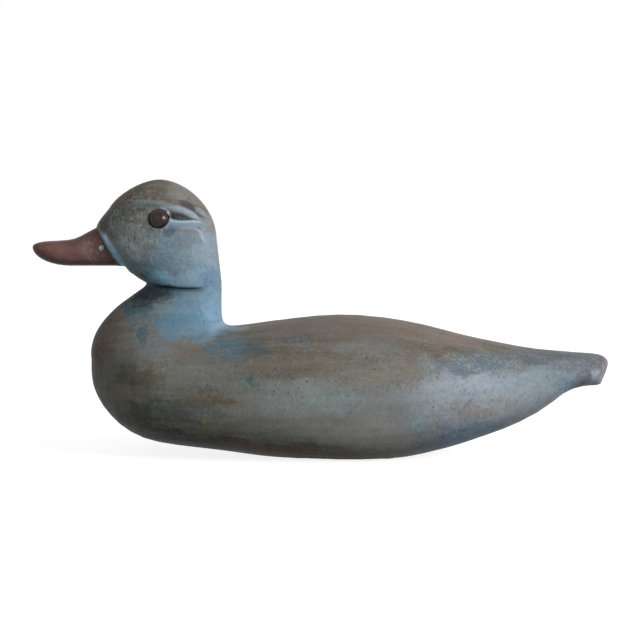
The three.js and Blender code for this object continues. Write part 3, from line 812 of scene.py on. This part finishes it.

# The glaze's patches in the side view: x, z, half length, half height and the colour to paint. They were
# boxed on the photograph, measured there by a program and in part changed afterwards. Later ones lie over
# earlier ones
BODY_PATCHES = [
    (-115, 55, 32, 24, (106, 106, 99)),
    (-148, 63, 7, 17, (100, 90, 82)),
    (-141, 82, 9, 11, (97, 89, 80)),
    (-67, 57, 29, 14, (106, 107, 104)),
    (-43, 34, 22, 15, (113, 113, 107)),
    (-13, 42, 24, 14, (123, 127, 126)),
    (-13, 63, 34, 8, (107, 101, 91)),
    (-18, 87, 38, 6, (109, 102, 95)),
    (39, 88, 42, 7, (118, 107, 99)),
    (95, 80, 32, 5, (122, 110, 102)),
    (32, 75, 22, 5, (115, 115, 112)),
    (42, 57, 34, 8, (118, 115, 106)),
    (10, 43, 22, 10, (126, 136, 136)),
    (45, 38, 20, 14, (125, 127, 127)),
    (34, 20, 42, 9, (134, 134, 130)),
    (36, 6, 36, 5, (114, 108, 102)),
    (-32, 8, 38, 6, (94, 79, 67)),
    (-95, 10, 40, 9, (48, 54, 52)),
    (-146, 25, 9, 18, (78, 76, 70)),
    (-112, 54, 16, 6, (95, 91, 78)),
    (-124, 43, 11, 7, (119, 117, 107)),
    (-128, 27, 9, 5, (92, 84, 75)),
    (-96, 32, 26, 9, (77, 82, 78)),
    (-65, 33, 9, 3, (94, 101, 100)),
    (-68, 43, 18, 5, (96, 91, 79)),
    (-60, 42, 6, 3, (103, 91, 78)),
    (-63, 25, 12, 5, (113, 112, 98)),
    (-104, 73, 11, 6, (114, 119, 120)),
    (-40, 55, 5.5, 5.5, (106, 118, 114)),
    (-39, 56, 4, 4.2, (82, 97, 94)),
    (-13, 78, 12, 3, (90, 94, 99)),
]
RUMP_PATCHES = [
    (116, 38, 56, 28, (118, 126, 133)),
    (166, 56, 28, 14, (110, 120, 131)),
    (108, 45, 48, 18, (137, 147, 157)),
    (71, 41, 9, 12, (132, 139, 145)),
    (72, 63, 8, 8, (117, 120, 120)),
    (104, 51, 30, 5, (142, 153, 164)),
    (101, 64, 23, 6, (98, 110, 120)),
    (127, 64, 9, 6, (113, 120, 125)),
    (145, 55, 13, 10, (128, 141, 147)),
    (101, 35, 17, 6, (124, 121, 119)),
    (124, 37, 12, 6, (135, 141, 143)),
    (82, 8, 16, 5, (96, 116, 132)),
    (102, 17, 28, 8, (97, 118, 137)),
    (68, 25, 7, 9, (122, 138, 140)),
    (150, 68, 36, 4, (102, 108, 113)),
    (166, 60, 12, 6, (112, 120, 128)),
    (163, 51, 9, 3.5, (117, 138, 155)),
    # painted highlight near the tail's end, reaching down to lighten its shaded lower edge
    (183, 53, 5, 7.5, (178, 187, 200)),
]
HEAD_PATCHES = [  # with the neck's
    (-82, 99, 29, 19, (100, 132, 153)),
    (-69, 100, 5, 15, (109, 140, 163)),
    (-90, 89, 21, 5.5, (89, 122, 142)),
    (-84, 82, 20, 4, (100, 124, 139)),
    (-65, 84, 8, 5, (121, 149, 169)),
    (-53, 84, 7, 3, (130, 132, 142)),
    (-56, 73, 13, 7, (85, 108, 118)),
    (-38, 73, 11, 5, (86, 95, 97)),
    (-118, 90, 11, 4.5, (99, 113, 120)),
    (-122, 98, 11, 5, (68, 98, 106)),
    # painted shade under the chin, just below the crease
    (-111, 107.5, 18, 7, (38, 43, 47)),
    (-115, 81, 7, 8, (113, 120, 121)),
    (-115, 81, 4.2, 6, (78, 94, 102)),
    (-82, 74, 10, 6, (113, 107, 98)),
    (-90, 130, 36, 26, (108, 133, 147)),
    (-128, 148, 20, 18, (107, 114, 111)),
    (-130, 160, 12, 7, (94, 97, 92)),
    (-143, 156, 6, 7, (87, 88, 85)),
    (-84, 143, 10, 9, (108, 118, 127)),
    (-73, 139, 6, 16, (127, 140, 154)),
    (-114, 142, 9, 9, (113, 119, 119)),
    (-128, 134, 13, 9, (148, 165, 166)),
    # pale cyan along the jaw, made brighter as painted light where the jaw faces down
    (-101, 118, 15, 5, (136, 180, 203)),
    (-118, 124, 8, 4, (128, 157, 168)),
    (-125, 120, 8, 3, (104, 88, 82)),
    (-85, 119, 10, 5, (124, 146, 162)),
    (-70, 119, 7, 6, (99, 124, 148)),
    (-117, 177, 26, 9, (94, 88, 82)),
    (-106, 182, 13, 4, (100, 97, 86)),
    (-89, 177, 13, 8, (115, 114, 111)),
    (-130, 168, 12, 3.5, (100, 90, 88)),
    (-124.2, 170.7, 2.2, 2, (72, 58, 54)),
    (-71, 157, 5, 9, (120, 122, 122)),
]
PATCH_STRENGTH = 0.86
PATCH_SOFTNESS = 0.9
RUMP_SOFTNESS = 0.65  # the rump is dabbed on with a sponge
LONG_PATCH = 1.8  # a patch this much longer than high has the edge of a brush stroke

# Areas in the side view: x, z, half length and half height
# CHIN_SHADE_AREA and CHIN_SHADE_HEIGHT place the painted shade under the chin
CHIN_SHADE_AREA = (-109, 109, 14, 6)
FACE_AREA = (-121, 151, 25, 25)
GOLD_AREA = (-102, 100, 7, 6)
CALM_AREA = (-80, 98, 30, 17)
FLANK_AREA = (-4, 58, 58, 14)
BILL_ROOT_LIGHT_AND_CHIPS_AREA = (-146, 136, 12, 9)
# Ramps along the bird or of height, and the noise's shift of them
SLATE_HEIGHT = (75, 50)
CHIN_SHADE_HEIGHT = (114, 112)
RUMP_ALONG, RUMP_RAGGED = (58, 72), 14
BACK_HEIGHT, BACK_RAGGED = (73, 67), 6
TAIL_END_ALONG = (178, 184)
# Ramps of how far the skin faces the tail, and the noise's shift of them
RIM_START, RIM_END, BARE_CLAY = (0.2, 0.36), (0.6, 0.44), (0.5, 0.66)
FACING_RAGGED = 0.2
UPRIGHT = (0.9, 0.9, 1.4)  # stretch of marks that stand upright
MARKS_ELSEWHERE = 0.3  # strength of the marks outside face and rump
MARKS_ON_RUMP = 0.85


class Glaze(Finish):
    """The mottled glaze of body and head. Each layer takes the colour under it and gives the new one."""

    def __init__(self):
        super().__init__("mottled_glaze", Specular_IOR_Level=0.05)
        self.along = self.axis(0)
        self.height = self.axis(2)
        self.strokes = self.noise(7, detail=6, roughness=0.62, stretch=(7, 1, 0.7))
        dabs = self.noise(13, roughness=0.5)
        self.sponge = self.noise(2.6, detail=4, roughness=0.7)
        self.grain = self.noise(0.9, roughness=0.7)
        self.clusters = self.noise(11, roughness=0.6)
        self.ragged = self.sum((dabs, 0.7), (self.sponge, 0.9))
        self.drawn = self.sum((self.strokes, 1.5), (self.sponge, 0.7))
        self.dabbed = self.sum((dabs, 0.6), (self.sponge, 1.4))
        self.bent = self.bent_place(15, along=28, up=21)

    def ground(self):
        colour = self.mix(self.ramp(self.strokes, *NOISE_SPLIT), UMBER, TAUPE)
        return self.lay(colour, SLATE, self.ramp(self.height, *SLATE_HEIGHT), 0.6)

    def patches(self, colour, rows, edge=None, soft=PATCH_SOFTNESS):
        """Patches with that edge, or else a drawn edge on long ones and a ragged edge on the others."""
        for x, z, half_length, half_height, tint in rows:
            own_edge = edge or (self.drawn if half_length > LONG_PATCH * half_height else self.ragged)
            mask = self.patch(x, z, half_length, half_height, own_edge, soft, self.bent)
            colour = self.lay(colour, paint(*tint), mask, PATCH_STRENGTH)
        return colour

    def shade_under_chin(self, colour):
        """Painted shade on the neck under the chin."""
        mask = self.patch(*CHIN_SHADE_AREA, self.ragged, 0.9)
        return self.lay(colour, CHIN_SHADE, self.times(mask, self.ramp(self.height, *CHIN_SHADE_HEIGHT)), 0.75)

    def marks(self, colour):
        """Short upright marks, pale and dark, thickest on the face and the rump, and gold flecks."""
        face = self.patch(*FACE_AREA, self.ragged)
        rump = self.ramp(self.fit(self.ragged, RUMP_RAGGED, self.along), *RUMP_ALONG)
        rump = self.times(rump, self.ramp(self.fit(self.ragged, BACK_RAGGED, self.height), *BACK_HEIGHT))
        rough = self.math("MAXIMUM", face, self.times(rump, MARKS_ON_RUMP))
        rough = self.fit(rough, 1 - MARKS_ELSEWHERE, MARKS_ELSEWHERE)
        salt = self.ramp(self.noise(2.3, roughness=0.75, stretch=UPRIGHT, seed=31), 0.49, 0.63)
        pepper = self.ramp(self.noise(2.0, roughness=0.75, stretch=UPRIGHT, seed=57), 0.48, 0.35)
        pale = self.times(salt, self.ramp(self.clusters, 0.36, 0.58))
        dark = self.times(pepper, self.ramp(self.clusters, 0.68, 0.42))
        dark = self.times(dark, self.fit(rump, -0.45, 1.0))
        colour = self.lay(colour, MARK_PALE, self.times(pale, rough), 0.75)
        colour = self.lay(colour, MARK_DARK, self.times(dark, rough), 0.75)
        flecks = self.ramp(self.noise(1.2, detail=2, roughness=0.6, stretch=UPRIGHT, seed=41), 0.4, 0.66)
        return self.lay(colour, GOLD, self.times(flecks, self.patch(*GOLD_AREA, self.ragged)), 0.65)

    def cloudiness(self, colour):
        """Lighter and darker strokes and grain, calmer on the neck."""
        calm = self.fit(self.patch(*CALM_AREA, self.ragged), -0.6, 1.0)
        fine = self.times(self.sum((self.sponge, 0.6), (self.grain, 0.6)), calm)
        tone = self.math("ADD", self.sum((self.strokes, 0.5), start=1.0), fine)
        return self.vector("SCALE", colour, scale=tone)

    def carving(self, colour):
        """The colours on the carved lines, worn off in places, and painted shade in the crease under the
        cheeks.
        """
        kept = self.math("MINIMUM", self.sum((self.sponge, 1.4), (self.clusters, 0.7), start=0.95), 1.0)
        kept = self.math("MAXIMUM", kept, 0.0)
        bare = self.math("SUBTRACT", 1.0, self.times(self.share("carved"), kept))
        lines = self.vector("SCALE", self.tint("carving"), scale=kept)
        colour = self.vector("ADD", self.vector("SCALE", colour, scale=bare), lines)
        # Painted shade along the crease
        return self.lay(colour, CREASE_SHADE_AND_RIM_DARK, self.share("crease_shade"), 0.7)

    def pits(self):
        """1 in small pits, mostly along the flank."""
        flank = self.patch(*FLANK_AREA, self.ragged)
        pitted = self.ramp(self.fit(flank, 0.24, self.clusters), 0.55, 0.65)
        return self.times(self.dots(3.4, 0.62), pitted)

    def tail_end(self, colour):
        """The bare clay of the tail's end, with a darker rim of glaze round it."""
        end = self.ramp(self.along, *TAIL_END_ALONG)
        facing = self.fit(self.ragged, FACING_RAGGED, self.axis(0, self.normal))
        rim = self.times(self.ramp(facing, *RIM_START), self.ramp(facing, *RIM_END))
        colour = self.lay(colour, CREASE_SHADE_AND_RIM_DARK, self.times(end, rim), 0.3)
        clay = self.mix(self.ramp(self.sponge, 0.36, 0.54), CLAY_DARK, CLAY_PALE)
        return self.lay(colour, clay, self.times(end, self.ramp(facing, *BARE_CLAY)))


def glaze_finish():
    glaze = Glaze()
    colour = glaze.ground()
    colour = glaze.patches(colour, BODY_PATCHES)
    colour = glaze.patches(colour, RUMP_PATCHES, glaze.dabbed, RUMP_SOFTNESS)
    colour = glaze.patches(colour, HEAD_PATCHES)
    colour = glaze.shade_under_chin(colour)
    colour = glaze.marks(colour)
    colour = glaze.cloudiness(colour)
    colour = glaze.carving(colour)
    pits = glaze.pits()
    colour = glaze.lay(colour, PIT, pits, 0.7)
    glaze.colour(glaze.tail_end(colour))
    glaze.roughness(glaze.sum((glaze.sponge, 0.25), start=0.55))
    relief = glaze.sum((glaze.sponge, 0.6), (glaze.grain, 0.4))
    glaze.bump(glaze.math("SUBTRACT", relief, pits), 0.2)
    return glaze.material


def bill_finish():
    glaze = Finish("bill_glaze", Specular_IOR_Level=0.08)
    wash = glaze.noise(12, detail=4, roughness=0.6, stretch=(3, 1, 1))
    specks = glaze.noise(1.1, detail=2)
    chips = glaze.ramp(glaze.noise(1.9, roughness=0.7, seed=12), 0.54, 0.66)
    facing_up = glaze.axis(2, glaze.normal)
    near_root = glaze.patch(*BILL_ROOT_LIGHT_AND_CHIPS_AREA, glaze.math("SUBTRACT", wash, 0.5))
    colour = glaze.mix(glaze.ramp(wash, *NOISE_SPLIT), paint(104, 76, 72), paint(123, 93, 88))
    # Darker where the bill faces up, and painted shade where it faces down
    colour = glaze.lay(colour, paint(70, 54, 50), glaze.ramp(facing_up, 0.3, 0.9), 0.5)
    colour = glaze.lay(colour, paint(60, 42, 38), glaze.ramp(facing_up, -0.55, -0.95), 0.7)
    # Lighter near the root as painted light against the shade the head casts there, with pale chips over it
    colour = glaze.lay(colour, paint(140, 112, 110), near_root, 0.6)
    colour = glaze.lay(colour, paint(182, 152, 146), glaze.times(chips, near_root), 0.6)
    cloud = glaze.sum((specks, 0.35), (glaze.noise(3.2), 0.5), start=1.0)
    glaze.colour(glaze.vector("SCALE", colour, scale=cloud))
    glaze.roughness(glaze.fit(wash, 0.2, 0.36))
    glaze.bump(specks, 0.12)
    return glaze.material


def eye_finish():
    eye = Finish("eye_glaze", Specular_IOR_Level=0.27)
    cloud = eye.noise(2.5)
    eye.colour(eye.mix(eye.ramp(cloud, 0.3, 0.7), paint(36, 20, 18), paint(48, 29, 27)))
    eye.roughness(eye.sum((cloud, 0.06), start=0.08))
    eye.bump(cloud, 0.03)
    return eye.material


def nostril_finish():
    stud = Finish("nostril_clay")
    grain = stud.noise(0.8)
    stud.colour(stud.mix(stud.ramp(grain, *NOISE_SPLIT), paint(196, 188, 176), paint(232, 228, 216)))
    stud.roughness(stud.fit(grain, 0.3, 0.4))
    stud.bump(grain, 0.1)
    return stud.material


def cork_finish():
    cork = Finish("cork")
    grain = cork.noise(3, detail=5, roughness=0.7)
    pores = cork.dots(2.6, 0.6)
    colour = cork.mix(cork.ramp(grain, *NOISE_SPLIT), paint(150, 116, 78), paint(190, 156, 112))
    cork.colour(cork.lay(colour, paint(78, 54, 34), pores, 0.8))
    cork.roughness(cork.fit(grain, 0.2, 0.75))
    cork.bump(cork.math("SUBTRACT", grain, pores), 0.3)
    return cork.material


def felt_finish():
    felt = Finish("felt", Sheen_Weight=0.4)
    fibres = felt.noise(0.5, detail=4, roughness=0.7, stretch=(3, 1, 1))
    cross = felt.noise(0.5, detail=4, roughness=0.7, stretch=(1, 3, 1))
    fuzz = felt.math("MAXIMUM", fibres, cross)
    felt.colour(felt.mix(felt.ramp(fuzz, 0.4, 0.75), paint(48, 56, 52), paint(84, 94, 88)))
    felt.roughness(felt.fit(fuzz, 0.1, 0.88))
    felt.bump(fuzz, 0.3)
    return felt.material


# Assembly

eyes = eye_rims()
for pieces, finish in (
    ([make_body(), make_head(eyes)], glaze_finish()),
    ([make_bill()], bill_finish()),
    (make_eyes(eyes), eye_finish()),
    (make_nostrils(), nostril_finish()),
    ([make_cork()], cork_finish()),
    (make_felts(), felt_finish()),
):
    for piece in pieces:
        piece.data.materials.clear()
        piece.data.materials.append(finish)

# Studio, in metres

TARGET = Vector((0.001, 0, 0.09))
CAMERA_AZIMUTH = 2.55
CAMERA_ELEVATION = 2.68
CAMERA_DISTANCE = 1.1
CAMERA_LENS = 92.07  # mm, on a 36 mm sensor
LAMP_DISTANCE = 2
WORLD_LIGHT = 0.25
FLOOR_HALF = 40
FLOOR_SHARE = 0.12  # of the light on it that the floor gives back to the object
FLOOR_SHOWN = 0.4  # of the light on it that the floor shows
FLOOR_LIFT = 0.85  # what it shows on top of that, so that only the shadow is less than white
WHITE = (1, 1, 1, 1)


def aimed(name, data, azimuth, elevation, distance):
    """A lamp or camera that far from the target and turned to it. Angles are in degrees: azimuth 0 looks
    along +Y, and more goes round towards +X."""
    turn, rise = math.radians(azimuth), math.radians(elevation)
    flat = math.cos(rise)
    way = Vector((math.sin(turn) * flat, -math.cos(turn) * flat, math.sin(rise)))
    piece = bpy.data.objects.new(name, data)
    piece.location = TARGET + way * distance
    piece.rotation_euler = (TARGET - piece.location).to_track_quat("-Z", "Y").to_euler()
    bpy.context.scene.collection.objects.link(piece)
    return piece


def soft_light(name, azimuth, elevation, width, brightness, gloss=True):
    """A far lamp, that many degrees wide. A white surface that faces it gets that brightness, where 1 is
    white. Without gloss it shows in no reflection."""
    lamp = bpy.data.lights.new(name, "SUN")
    lamp.angle = math.radians(width)
    lamp.energy = math.pi * brightness
    aimed(name, lamp, azimuth, elevation, LAMP_DISTANCE).visible_glossy = gloss


def seen_directly(tree):
    """1 for what the camera sees directly, in a gloss or through glass, and 0 for light on the object."""
    path = add_node(tree, "ShaderNodeLightPath").outputs
    total = path["Is Camera Ray"]
    for name in ("Is Glossy Ray", "Is Transmission Ray"):
        total = add_node(tree, "ShaderNodeMath", {0: total, 1: path[name]}, operation="MAXIMUM").outputs[0]
    return total


def white_world():
    """Surroundings that show white and light the object with less."""
    world = bpy.data.worlds.new("studio")
    bpy.context.scene.world = world
    world.use_nodes = True
    tree = world.node_tree
    lit = tree.nodes["Background"]
    lit.inputs["Color"].default_value = WHITE
    lit.inputs["Strength"].default_value = WORLD_LIGHT
    shown = add_node(tree, "ShaderNodeBackground", {"Color": WHITE})
    inputs = {0: seen_directly(tree), 1: lit.outputs[0], 2: shown.outputs[0]}
    both = add_node(tree, "ShaderNodeMixShader", inputs)
    tree.links.new(both.outputs[0], tree.nodes["World Output"].inputs["Surface"])


def pale_floor():
    """A wide floor that shows white and keeps the shadow, and gives back a plain part of the light."""
    made = bmesh.new()
    bmesh.ops.create_grid(made, x_segments=8, y_segments=8, size=FLOOR_HALF)
    mesh = bpy.data.meshes.new("floor")
    made.to_mesh(mesh)
    made.free()
    floor = bpy.data.objects.new("floor", mesh)
    bpy.context.scene.collection.objects.link(floor)
    material = bpy.data.materials.new("floor")
    material.use_nodes = True
    tree = material.node_tree
    tree.nodes.remove(tree.nodes["Principled BSDF"])
    seen = seen_directly(tree)
    inputs = {"Value": seen, "To Min": FLOOR_SHARE, "To Max": FLOOR_SHOWN}
    shade = add_node(tree, "ShaderNodeMapRange", inputs)
    dull = add_node(tree, "ShaderNodeBsdfDiffuse", {"Color": shade.outputs["Result"]})
    lift = (FLOOR_LIFT, FLOOR_LIFT, FLOOR_LIFT, 1)
    glow = add_node(tree, "ShaderNodeEmission", {"Color": lift, "Strength": seen})
    both = add_node(tree, "ShaderNodeAddShader", {0: dull.outputs[0], 1: glow.outputs[0]})
    tree.links.new(both.outputs[0], tree.nodes["Material Output"].inputs["Surface"])
    mesh.materials.append(material)


soft_light("key", 63, 12, width=60, brightness=0.52)
soft_light("spark", 60, 19, width=26, brightness=0.78)
soft_light("fill", -15, 22, width=60, brightness=0.13)
soft_light("back", 182, 5, width=30, brightness=0.5, gloss=False)
camera = bpy.data.cameras.new("camera")
camera.lens = CAMERA_LENS
bpy.context.scene.camera = aimed("camera", camera, CAMERA_AZIMUTH, CAMERA_ELEVATION, CAMERA_DISTANCE)
white_world()
pale_floor()
bpy.context.scene.view_settings.view_transform = "Standard"
